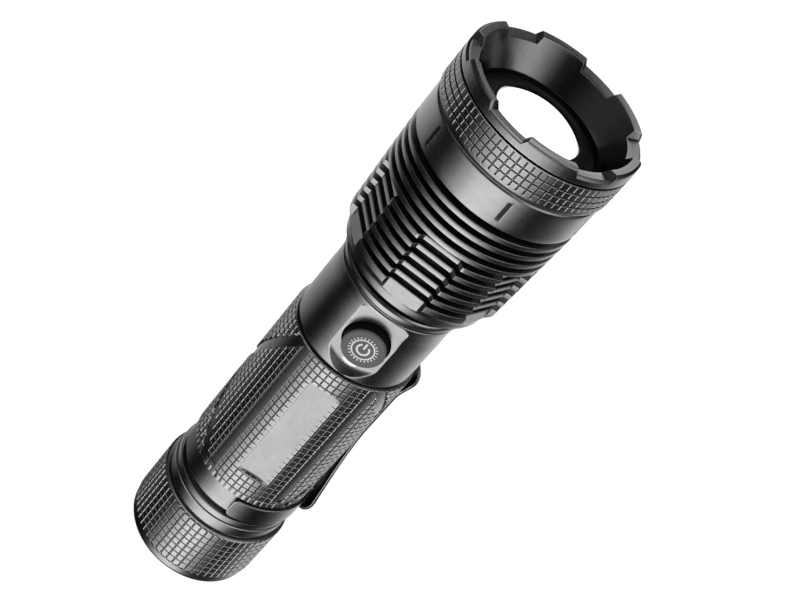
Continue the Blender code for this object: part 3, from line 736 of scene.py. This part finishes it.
def build_clip_arm():
    outward = polar(1.0, CLIP_TURN, 0.0)
    across = Vector((-outward.y, outward.x, 0.0))
    tip_start, tip_length = 80.6, 4.4

    def half_width(z):
        share = max(z - tip_start, 0.0) / tip_length
        return CLIP_HALF * math.sqrt(1 - share * share * 0.92)

    sections = []
    for side, inset in CLIP_ARM_SECTIONS:
        section = []
        for i, (radius, z) in enumerate(CLIP_ARM):
            before, after = CLIP_ARM[i - 1], CLIP_ARM[(i + 1) % len(CLIP_ARM)]
            run, rise = after[0] - before[0], after[1] - before[1]
            length = math.hypot(run, rise)
            normal_out, normal_up = rise / length, -run / length       # points out of the strip
            section.append(outward * (radius - normal_out * inset)
                           + across * side * half_width(z)
                           + Vector((0, 0, z - normal_up * inset)))
        sections.append(section)
    return loft("arm", sections, 40)


def build_clip():
    clip = build_clip_ring()
    boolean(clip, build_clip_arm(), "UNION")
    shade(clip, 38)
    return clip


bezel = build_bezel()
head = build_head()
collar = build_collar()
grip = build_grip()
tail = build_tail()
lens = build_lens()
retainer = build_retainer()
button = build_button()
icon = build_icon()
clip = build_clip()

# piece, moving body it rides on, CAD node it replaces, slot
PIECES = (
    (bezel, "head", "strike_bezel", "anodised_bezel"),
    (head, "head", "zoom_head", "anodised_alloy"),
    (collar, "grip", "switch_collar", "anodised_alloy"),
    (grip, "grip", "grip_tube", "anodised_alloy"),
    (tail, "tail", "tail_cap", "anodised_alloy"),
    (lens, "head", "front_lens", "lens"),
    (retainer, "head", "lens_retainer", "black_plastic"),
    (button, "button", "switch_button", "grey_silicone"),
    (clip, "clip", "pocket_clip", "clip_steel"),
)
for piece, body, node_name, slot in PIECES:
    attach(piece, body)
    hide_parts(node_name)
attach(icon, "button")


# ================================================================ material helpers
WHITE = (1.0, 1.0, 1.0, 1.0)


def as_rgba(value):
    """Colour from a grey or a triple; a socket passes through."""
    if isinstance(value, bpy.types.NodeSocket):
        return value
    return (value, value, value, 1.0) if isinstance(value, (int, float)) else (*value, 1.0)


class Graph:
    """Adds linked shader nodes to a material or world."""

    def __init__(self, owner):
        owner.use_nodes = True
        self.tree = owner.node_tree
        self.tree.nodes.clear()

    def create(self, kind, inputs, **settings):
        node = self.tree.nodes.new("ShaderNode" + kind)
        for name, value in settings.items():
            setattr(node, name, value)
        for key, value in inputs.items():
            if isinstance(value, bpy.types.NodeSocket):
                self.tree.links.new(value, node.inputs[key])
            else:
                node.inputs[key].default_value = value
        return node

    def node(self, kind, inputs=None, **settings):
        """Add a node and return its outputs."""
        return self.create(kind, inputs or {}, **settings).outputs

    def math(self, operation, *values, clamp=False):
        return self.node("Math", dict(enumerate(values)), operation=operation, use_clamp=clamp)[0]

    def add(self, first, second, clamp=False):
        return self.math("ADD", first, second, clamp=clamp)

    def subtract(self, first, second, clamp=False):
        return self.math("SUBTRACT", first, second, clamp=clamp)

    def multiply(self, first, second):
        return self.math("MULTIPLY", first, second)

    def weigh(self, first, first_share, second, second_share):
        """Sum of two values, each times its share."""
        return self.add(self.multiply(first, first_share), self.multiply(second, second_share))

    def ramp(self, factor, stops, mode="LINEAR"):
        """Stops are (position, grey or colour)."""
        node = self.create("ValToRGB", {0: factor})
        node.color_ramp.interpolation = mode
        elements = node.color_ramp.elements
        while len(elements) > 1:
            elements.remove(elements[-1])
        elements[0].position = stops[0][0]
        elements[0].color = as_rgba(stops[0][1])
        for position, colour in stops[1:]:
            elements.new(position).color = as_rgba(colour)
        return node.outputs[0]

    def mix(self, factor, first, second):
        inputs = {0: factor, 6: as_rgba(first), 7: as_rgba(second)}
        return self.node("Mix", inputs, data_type="RGBA")[2]

    def mix_value(self, factor, first, second):
        return self.node("Mix", {0: factor, 2: first, 3: second}, data_type="FLOAT")[0]

    def noise(self, coords, scale, detail, roughness):
        return self.node("TexNoise", {"Vector": coords, "Scale": scale, "Detail": detail,
                                      "Roughness": roughness})[0]

    def bump(self, height, strength, distance, **normal):
        """Distance is in metres."""
        return self.node("Bump", {"Height": height, "Strength": strength, "Distance": distance,
                                  **normal})[0]

    def mm_coords(self):
        coords = self.node("TexCoord")["Object"]
        return self.node("VectorMath", {0: coords, "Scale": 1000.0}, operation="SCALE")[0]

    def axis_distance(self, coords):
        axes = self.node("SeparateXYZ", {0: coords})
        return self.math("SQRT", self.add(self.multiply(axes[0], axes[0]),
                                          self.multiply(axes[1], axes[1])))

    def principled(self, inputs):
        surface = self.node("BsdfPrincipled", inputs)[0]
        self.node("OutputMaterial", {"Surface": surface})


def new_material(name):
    material = bpy.data.materials.new(name)
    return material, Graph(material)


def turned_metal(name, base, tint, roughness, edge=0.50, wear=0.15, lines=0.10, grain=0.05,
                 bevel=0.05, bore=0.0):
    """Turned metal: lathe lines round the axis, bead grain, colour drift, pointed edges worn
    lighter, a painted highlight on convex rims and painted shade in grooves.

    base is the grey that tint colours, edge the grey of worn edges and wear its share; lines
    and grain are bump heights, bevel the shaded edge radius; inside the bore radius the wall
    is smoother.
    """
    spread = 0.12               # share by which the colour drifts either way
    highlight_grey = 0.62                 # grey of the painted highlight on convex rims
    # reach of the painted highlight from a convex edge
    highlight_reach = 0.26
    shade_width = 0.8           # reach of the painted shade in grooves
    material, graph = new_material(name)
    coords = graph.mm_coords()
    stretched = graph.node("Mapping", {0: coords, "Scale": (0.10, 0.10, 7.0)})[0]
    line = graph.noise(stretched, scale=1.0, detail=4.0, roughness=0.65)
    drift = graph.noise(coords, scale=0.09, detail=3.0, roughness=0.5)
    blotch = graph.noise(coords, scale=0.7, detail=4.0, roughness=0.6)
    fine = graph.noise(coords, scale=9.0, detail=2.0, roughness=0.6)
    patches = graph.noise(coords, scale=1.7, detail=5.0, roughness=0.7)
    broken = graph.ramp(patches, [(0.42, 0.0), (0.62, 1.0)])

    pointed = graph.ramp(graph.node("NewGeometry")["Pointiness"], [(0.50, 0.0), (0.56, 1.0)])
    worn = graph.multiply(graph.multiply(pointed, graph.mix_value(broken, 0.35, 1.0)), wear)
    dark = tuple(base * part * (1 - spread) for part in tint)
    light = tuple(base * part * (1 + spread) for part in tint)
    colour = graph.ramp(graph.weigh(drift, 0.6, blotch, 0.4), [(0.35, dark), (0.65, light)])
    colour = graph.mix(worn, colour, edge)
    # painted highlight: convex rims, found by inside ambient occlusion, are painted lighter grey,
    # broken up in patches
    within = graph.node("AmbientOcclusion", {"Distance": highlight_reach * MM},
                        samples=3, inside=True, only_local=True)["AO"]
    edge_highlight = graph.multiply(graph.ramp(within, [(0.60, 1.0), (0.96, 0.0)]),
                            graph.mix_value(broken, 0.55, 0.95))
    # painted shade: the colour falls to near black (0.004) in grooves and crevices, found by ambient
    # occlusion
    around = graph.node("AmbientOcclusion", {"Distance": shade_width * MM},
                        samples=3, only_local=True)["AO"]
    unshaded = graph.ramp(around, [(0.42, 0.02), (0.73, 1.0)])
    # painted highlight lightens the convex rims, then painted shade darkens the grooves
    colour = graph.mix(edge_highlight, colour, highlight_grey)
    colour = graph.mix(unshaded, 0.004, colour)

    # roughness varies with the noises, drops on worn edges and rises along the painted rim highlight
    texture = graph.multiply(graph.weigh(blotch, 0.6, line, 0.4), 0.14)
    rough = graph.add(roughness - 0.07, texture)
    rough = graph.add(graph.subtract(rough, graph.multiply(worn, 0.08)),
                      graph.multiply(edge_highlight, 0.12), clamp=True)
    if bore > 0.0:
        share = graph.math("DIVIDE", graph.axis_distance(coords), bore)
        inside = graph.ramp(share, [(0.965, 1.0), (0.995, 0.0)])
        rough = graph.subtract(rough, graph.multiply(inside, 0.10), clamp=True)
    rounded = graph.node("Bevel", {"Radius": bevel * MM}, samples=4)[0]
    normal = graph.bump(graph.weigh(line, lines, fine, grain), strength=0.55,
                        distance=0.00006, Normal=rounded)
    graph.principled({"Base Color": colour, "Roughness": rough, "Normal": normal,
                      "Metallic": 1.0})
    return material


def dull(name, colour, roughness, grain=0.5, scale=3.0, spread=0.15, wear=0.25, coat=0.0,
         specular=0.5):
    """Moulded, coated or sheet material: fine grain, lighter along worn edges.

    grain is the bump share of the finest noise, scale the noise per mm, spread the colour
    drift either way and wear the share of the light edges.
    """
    material, graph = new_material(name)
    coords = graph.mm_coords()
    big = graph.noise(coords, scale=scale * 0.12, detail=3.0, roughness=0.55)
    middle = graph.noise(coords, scale=scale, detail=4.0, roughness=0.6)
    tiny = graph.noise(coords, scale=scale * 5.0, detail=2.0, roughness=0.6)
    dark = tuple(part * (1 - spread) for part in colour)
    light = tuple(min(part * (1 + spread), 1.0) for part in colour)
    mottled = graph.ramp(graph.weigh(big, 0.6, middle, 0.4), [(0.35, dark), (0.65, light)])
    pointed = graph.ramp(graph.node("NewGeometry")["Pointiness"], [(0.51, 0.0), (0.58, 1.0)])
    broken = graph.ramp(middle, [(0.4, 0.3), (0.6, 1.0)])
    worn = graph.multiply(graph.multiply(pointed, broken), wear)
    edge = tuple(min(part * 1.5 + 0.05, 1.0) for part in colour)
    graph.principled({
        "Base Color": graph.mix(worn, mottled, edge),
        "Roughness": graph.add(roughness - 0.06, graph.multiply(middle, 0.12), clamp=True),
        "Normal": graph.bump(graph.weigh(middle, 0.4, tiny, grain), strength=0.5,
                             distance=0.00004),
        "Coat Weight": coat,
        "Specular IOR Level": specular,
    })
    return material


def lens_material():
    """Lens painted as a glowing white disc, greying towards its rim; the glow is seen by the camera
    only and lights nothing.
    """
    glow_strength = 1.15
    # share of the lens radius, glow
    glow_stops = [(0.0, 1.0), (0.76, 1.0), (0.83, 0.80), (0.90, 0.35), (1.0, 0.2)]
    material, graph = new_material("lit_lens")
    coords = graph.mm_coords()
    share = graph.math("DIVIDE", graph.axis_distance(coords), LENS_RADIUS)
    glow = graph.multiply(graph.ramp(share, glow_stops), glow_strength)
    streak = graph.noise(coords, scale=0.8, detail=3.0, roughness=0.6)
    ripple = graph.noise(coords, scale=1.5, detail=2.0, roughness=0.5)
    graph.principled({
        "Base Color": graph.mix(graph.multiply(streak, 0.12), (0.90, 0.92, 0.94),
                                (0.78, 0.80, 0.82)),
        "Roughness": graph.add(0.04, graph.multiply(streak, 0.06)),
        "Normal": graph.bump(ripple, strength=0.08, distance=0.00003),
        # painted glow: emission for camera rays only, a white disc from a part that is no lamp
        "Emission Color": WHITE,
        "Emission Strength": graph.multiply(glow, graph.node("LightPath")["Is Camera Ray"]),
    })
    return material


def icon_material():
    """White print, worn greyer in patches."""
    material, graph = new_material("white_print")
    coords = graph.mm_coords()
    rubbing = graph.noise(coords, scale=2.2, detail=4.0, roughness=0.7)
    grain = graph.noise(coords, scale=12.0, detail=2.0, roughness=0.6)
    level = graph.add(graph.multiply(rubbing, 0.35), 0.5)
    graph.principled({
        "Base Color": graph.ramp(level, [(0.5, 0.62), (0.72, 0.86)]),
        "Normal": graph.bump(grain, strength=0.2, distance=0.00003),
        "Roughness": graph.add(0.45, graph.multiply(rubbing, 0.15)),
    })
    return material


def button_material():
    """Soft grey face; the button's sides below it are painted near black as shade."""
    face_start = 17.25          # distance from the axis, towards -Y, where the grey sets in
    dark, light = (0.105, 0.105, 0.108), (0.125, 0.125, 0.129)
    material, graph = new_material("grey_silicone")
    coords = graph.mm_coords()
    outward = graph.multiply(graph.node("SeparateXYZ", {0: coords})[1], -1.0)
    face = graph.ramp(graph.subtract(outward, face_start), [(0.0, 0.0), (0.5, 1.0)], "EASE")
    middle = graph.noise(coords, scale=5.0, detail=4.0, roughness=0.6)
    big = graph.noise(coords, scale=0.5, detail=3.0, roughness=0.5)
    tiny = graph.noise(coords, scale=22.0, detail=2.0, roughness=0.6)
    grey = graph.ramp(graph.weigh(big, 0.6, middle, 0.4), [(0.35, dark), (0.65, light)])
    graph.principled({
        # painted shade: below the grey face the button's sides are near black (0.006)
        "Base Color": graph.mix(face, 0.006, grey),
        "Normal": graph.bump(graph.weigh(middle, 0.4, tiny, 0.7), strength=0.4,
                             distance=0.00004),
        "Roughness": graph.add(0.56, graph.multiply(middle, 0.12)),
        "Specular IOR Level": graph.mix_value(face, 0.1, 0.4),
    })
    return material


# ================================================================ materials
GUN = (1.0, 1.0, 1.01)
alloy = turned_metal("gunmetal_alloy", 0.215, GUN, 0.25)
alloy_bezel = turned_metal("gunmetal_bezel", 0.17, GUN, 0.27, bore=20.8)
clip_steel = turned_metal("black_spring_steel", 0.10, GUN, 0.27, edge=0.35, wear=0.3,
                          lines=0.03, grain=0.10)
raw = turned_metal("machined_alloy", 0.62, (1.0, 0.995, 0.98), 0.34, edge=0.75, wear=0.2,
                   lines=0.16)
brass = turned_metal("brass", 0.74, (1.0, 0.72, 0.34), 0.30, edge=0.8, wear=0.05, lines=0.12)
spring = turned_metal("plated_spring", 0.66, (1.0, 0.99, 0.96), 0.26, edge=0.759, wear=0.2,
                      lines=0.02, grain=0.08, bevel=0.02)
nickel = turned_metal("nickel_steel", 0.64, (1.0, 0.98, 0.94), 0.26, edge=0.7, lines=0.06)
shell_metal = turned_metal("switch_shell", 0.55, (1.0, 1.0, 1.02), 0.36, edge=0.65, wear=0.2,
                           lines=0.04)
rubber = dull("black_rubber", (0.016, 0.016, 0.017), 0.72, grain=0.7, scale=4.0, wear=0.15)
plastic = dull("black_plastic", (0.0025, 0.0025, 0.0026), 0.45, grain=0.4, scale=5.0, wear=0.02,
               specular=0.15)
silicone = button_material()
board = dull("green_board", (0.02, 0.11, 0.045), 0.45, grain=0.3, scale=2.0, wear=0.3, coat=0.3)
white_board = dull("white_board", (0.72, 0.72, 0.70), 0.45, grain=0.3, scale=2.0, spread=0.06)
phosphor = dull("led_phosphor", (0.92, 0.80, 0.24), 0.40, grain=0.6, scale=8.0, spread=0.08)
wrap_film = dull("cell_wrap", (0.05, 0.12, 0.30), 0.34, grain=0.15, scale=1.2, coat=0.4)
insulator = dull("white_insulator", (0.80, 0.80, 0.77), 0.62, spread=0.05)
lit_lens = lens_material()
print_white = icon_material()

FINISHES = {
    "tail_contact": brass, "tail_retaining_ring": raw, "tail_spring": spring,
    "front_o_ring": rubber, "rear_o_ring": rubber, "cell_can": nickel, "cell_cap": nickel,
    "cell_insulator": insulator, "cell_wrap": wrap_film, "switch_plunger": plastic,
    "switch_seal": rubber, "switch_body": shell_metal, "switch_board": board,
    "switch_carrier": plastic, "front_contact_board": board, "front_contact_spring": spring,
    "driver_board": board, "driver_ring": brass, "led_pill": raw, "led_board": white_board,
    "led_emitter": phosphor, "zoom_stop_ring": spring, "zoom_o_ring": rubber,
    "lens_gasket": rubber, "bezel_o_ring": rubber, "strike_bezel": alloy_bezel,
    "zoom_head": alloy, "switch_collar": alloy, "grip_tube": alloy, "tail_cap": alloy,
    "front_lens": lit_lens, "lens_retainer": plastic, "switch_button": silicone,
    "pocket_clip": clip_steel,
}


def dress(obj, material):
    if not obj.data.materials:
        obj.data.materials.append(material)
    for material_slot in obj.material_slots:
        material_slot.material = material


for piece, _, node_name, _ in PIECES:
    dress(piece, FINISHES[node_name])
dress(icon, print_white)
for node_name, material in FINISHES.items():
    dress(nodes[node_name], material)


# ================================================================ floor
def floor_material():
    """Nearly even white: mostly emission over a faintly mottled matt surface."""
    glow_share, glow_strength = 0.90, 1.12
    material, graph = new_material("pale_floor")
    mottle = graph.noise(graph.mm_coords(), scale=0.01, detail=3.0, roughness=0.5)
    matt = graph.node("BsdfPrincipled", {
        "Base Color": graph.ramp(mottle, [(0.3, 0.80), (0.7, 0.84)]),
        "Roughness": 0.9,
        "Specular IOR Level": 0.0,
    })[0]
    glow = graph.node("Emission", {"Color": WHITE, "Strength": glow_strength})[0]
    surface = graph.node("MixShader", {0: glow_share, 1: matt, 2: glow})[0]
    graph.node("OutputMaterial", {"Surface": surface})
    return material


def build_floor():
    """Large square just under the cap, seen by the camera but not by the torch."""
    half, drop = 6, 0.0002      # metres
    mesh = bpy.data.meshes.new("floor")
    corners = [(-half, -half, 0), (half, -half, 0), (half, half, 0), (-half, half, 0)]
    mesh.from_pydata(corners, [], [(0, 1, 2, 3)])
    plane = bpy.data.objects.new("floor", mesh)
    bpy.context.scene.collection.objects.link(plane)
    plane.location.z = -drop
    mesh.materials.append(floor_material())
    plane.visible_glossy = False
    plane.visible_diffuse = False
    plane.visible_transmission = False
    plane.visible_shadow = False
    return plane


floor = build_floor()
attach(floor, "tail_contact_unit")      # the torch stands on its cap, also when it is backed off

# ================================================================ studio light
CAMERA_AZIMUTH = 11.6           # turn of the camera's side
LIGHT_STRENGTH = 2.9
AMBIENT = 0.0015

# Brightness or share against azimuth: degrees from the camera's side, positive towards -X,
# which is the camera's left.
SIDE_BOXES = (
    (-180, 0.30), (-160, 0.34), (-140, 0.36), (-125, 0.24), (-110, 0.12), (-95, 0.045),
    (-80, 0.010), (-68, 0.006), (-58, 0.02), (-48, 0.17), (-38, 0.52), (-26, 0.88), (-12, 1.0),
    (0, 0.98), (12, 0.80), (24, 0.46), (36, 0.19), (46, 0.05), (56, 0.006), (72, 0.004),
    (84, 0.03), (98, 0.18), (112, 0.31), (128, 0.36), (145, 0.36), (165, 0.34), (180, 0.30))
LEFT_SHARE = ((-180, 0.0), (40, 0.0), (60, 1.0), (150, 1.0), (180, 0.0))
FLANK_SHARE = ((-180, 1.0), (-110, 1.0), (-70, 0.0), (70, 0.0), (110, 1.0), (180, 1.0))
HIGH_BOX = (
    (-180, 0.03), (-110, 0.12), (-70, 0.6), (-40, 0.9), (0, 1.0), (40, 0.8), (80, 0.3),
    (120, 0.05), (180, 0.03))
PATCH_BOX = (
    (-180, 0.02), (-140, 0.02), (-115, 0.06), (-98, 0.22), (-84, 0.44), (-68, 0.56),
    (-54, 0.40), (-44, 0.24), (-36, 0.12), (-26, 0.02), (-10, 0.004), (10, 0.006), (30, 0.03),
    (52, 0.045), (80, 0.035), (107, 0.025), (150, 0.02), (180, 0.02))
BACK_BOX = (
    (-180, 0.12), (-172, 0.14), (-160, 0.06), (-145, 0.0), (146, 0.0), (156, 0.45),
    (170, 0.50), (176, 0.45), (180, 0.14))

# Share against elevation: degrees above the horizon.
LEFT_HEIGHT = ((-90, 0.0), (-54, 0.0), (-45, 0.13), (-37, 0.62), (-28, 1.0), (90, 1.0))
FRONT_HEIGHT = ((-90, 0.0), (-78, 0.0), (-66, 1.0), (-20, 1.0), (-4, 0.22), (6, 0.0), (90, 0.0))
FLANK_HEIGHT = (
    (-90, 0.0), (-64, 0.0), (-54, 0.22), (-46, 1.0), (-24, 1.0), (-12, 0.0), (90, 0.0))
HIGH_HEIGHT = ((-90, 0.0), (42, 0.0), (50, 0.65), (74, 0.7), (84, 0.3), (90, 0.2))
PATCH_HEIGHT = ((-90, 0.0), (0, 0.0), (9, 1.0), (33, 1.0), (46, 0.1), (90, 0.0))
BACK_HEIGHT = ((-90, 0.0), (-6, 0.0), (3, 1.0), (46, 0.8), (56, 0.1), (64, 0.0), (90, 0.0))


def build_world():
    """Soft boxes painted on the sky for lighting; the camera itself sees plain white."""
    world = bpy.data.worlds.new("studio")
    bpy.context.scene.world = world
    graph = Graph(world)
    ray = graph.node("SeparateXYZ", {0: graph.node("TexCoord")["Generated"]})
    azimuth = graph.math("ARCTAN2", graph.multiply(ray[0], -1.0), graph.multiply(ray[1], -1.0))
    azimuth = graph.subtract(azimuth, math.radians(CAMERA_AZIMUTH))
    # both run from 0 to 1: azimuth with the camera's side at 0.5, elevation from straight down
    azimuth = graph.math("FRACT", graph.add(graph.math("DIVIDE", azimuth, 2 * math.pi), 0.5))
    elevation = graph.math("DIVIDE", graph.math("ARCSINE", ray[2]), math.pi)
    elevation = graph.add(elevation, 0.5)

    def around(table):
        return graph.ramp(azimuth, [((angle + 180) / 360.0, value) for angle, value in table])

    def upward(table):
        stops = [((angle + 90) / 180.0, value) for angle, value in table]
        return graph.ramp(elevation, stops, "EASE")

    # the boxes to the left end higher, and those on the flanks and behind are shorter
    side = graph.multiply(around(SIDE_BOXES),
                          graph.mix_value(around(LEFT_SHARE), 1.0, upward(LEFT_HEIGHT)))
    side = graph.multiply(side, graph.mix_value(around(FLANK_SHARE), upward(FRONT_HEIGHT),
                                                upward(FLANK_HEIGHT)))
    high = graph.multiply(around(HIGH_BOX), upward(HIGH_HEIGHT))
    patch = graph.multiply(around(PATCH_BOX), upward(PATCH_HEIGHT))
    back = graph.multiply(around(BACK_BOX), upward(BACK_HEIGHT))
    total = graph.add(side, graph.add(back, graph.add(high, patch)))
    strength = graph.multiply(graph.add(total, AMBIENT), LIGHT_STRENGTH)
    lighting = graph.node("Background", {"Strength": strength, "Color": WHITE})[0]
    seen = graph.node("Background", {"Color": WHITE})[0]
    camera_ray = graph.node("LightPath")["Is Camera Ray"]
    surface = graph.node("MixShader", {0: camera_ray, 1: lighting, 2: seen})[0]
    graph.node("OutputWorld", {"Surface": surface})


# ================================================================ camera
CAMERA_PLACE = (-0.06558216, -0.33213908, 0.34998268)       # metres
CAMERA_AXES = (
    (0.81800739, 0.22544526, 0.52918649),                   # to the picture's right
    (-0.55176162, 0.56752554, 0.61112509),                  # to its top
    (-0.1625516, -0.79188963, 0.58863213),                  # back, away from the torch
)


def build_camera():
    data = bpy.data.cameras.new("camera")
    camera = bpy.data.objects.new("camera", data)
    bpy.context.scene.collection.objects.link(camera)
    data.lens = 78.96
    data.sensor_width = 36.0
    data.sensor_fit = "HORIZONTAL"
    data.clip_start, data.clip_end = 0.01, 50.0
    rotation = Matrix(CAMERA_AXES).transposed().to_4x4()
    camera.matrix_world = Matrix.Translation(CAMERA_PLACE) @ rotation
    bpy.context.scene.camera = camera


build_world()
build_camera()

view = bpy.context.scene.view_settings
view.view_transform = "Standard"
view.look = "None"
view.exposure = 0.0
view.gamma = 1.0

bpy.context.view_layer.update()
